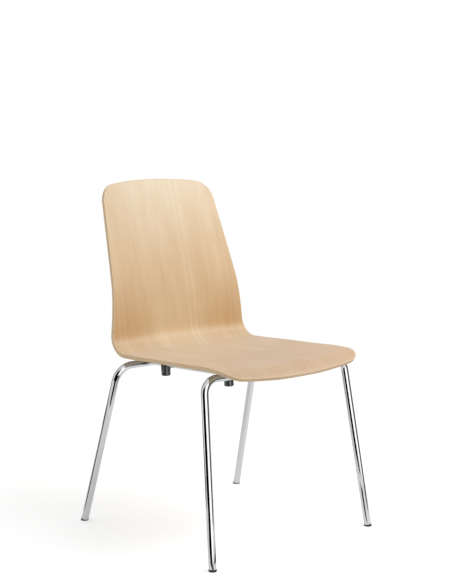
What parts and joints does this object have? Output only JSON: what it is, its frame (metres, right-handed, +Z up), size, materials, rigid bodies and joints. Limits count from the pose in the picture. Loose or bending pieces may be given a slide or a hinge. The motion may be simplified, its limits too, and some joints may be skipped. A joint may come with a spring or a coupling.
{
  "type": "stacking chair",
  "caption": "Stacking side chair: a one-piece moulded plywood seat and back on a chromed bent-tube frame with splayed legs, rubber stacking buffers and foot glides.",
  "frame": {"origin": "on the floor, at the bottom centre of the bounding box: on the chair's mid-plane, midway along its overall depth", "axes": "+Z up, -Y the way the chair faces, +X to the sitter's left"},
  "size_m": [0.5234, 0.5748, 0.8406],
  "materials": {
    "moulded_plywood": "clear satin lacquer on beech veneer",
    "chromed_tube": "bright chrome plate on steel tube",
    "buffer_rubber": "moulded, matt",
    "glide_plastic": "moulded, matt",
    "zinc_steel": "bright zinc plate"
  },
  "bodies": {
    "root": {"seat_shell": "moulded_plywood", "front_leg_tube": "chromed_tube", "rear_leg_tube": "chromed_tube", "left_rail": "chromed_tube", "right_rail": "chromed_tube", "stacking_buffer_front_left": "buffer_rubber", "stacking_buffer_front_right": "buffer_rubber", "stacking_buffer_rear_left": "buffer_rubber", "stacking_buffer_rear_right": "buffer_rubber", "spacer_pad_front_left": "buffer_rubber", "spacer_pad_front_right": "buffer_rubber", "spacer_pad_rear_left": "buffer_rubber", "spacer_pad_rear_right": "buffer_rubber", "foot_glide_front_left": "glide_plastic", "foot_glide_front_right": "glide_plastic", "foot_glide_rear_left": "glide_plastic", "foot_glide_rear_right": "glide_plastic", "fixing_screw_front_left": "zinc_steel", "fixing_screw_front_right": "zinc_steel", "fixing_screw_rear_left": "zinc_steel", "fixing_screw_rear_right": "zinc_steel", "washer_front_left": "zinc_steel", "washer_front_right": "zinc_steel", "washer_rear_left": "zinc_steel", "washer_rear_right": "zinc_steel", "threaded_insert_front_left": "zinc_steel", "threaded_insert_front_right": "zinc_steel", "threaded_insert_rear_left": "zinc_steel", "threaded_insert_rear_right": "zinc_steel"}
  },
  "joints": []
}
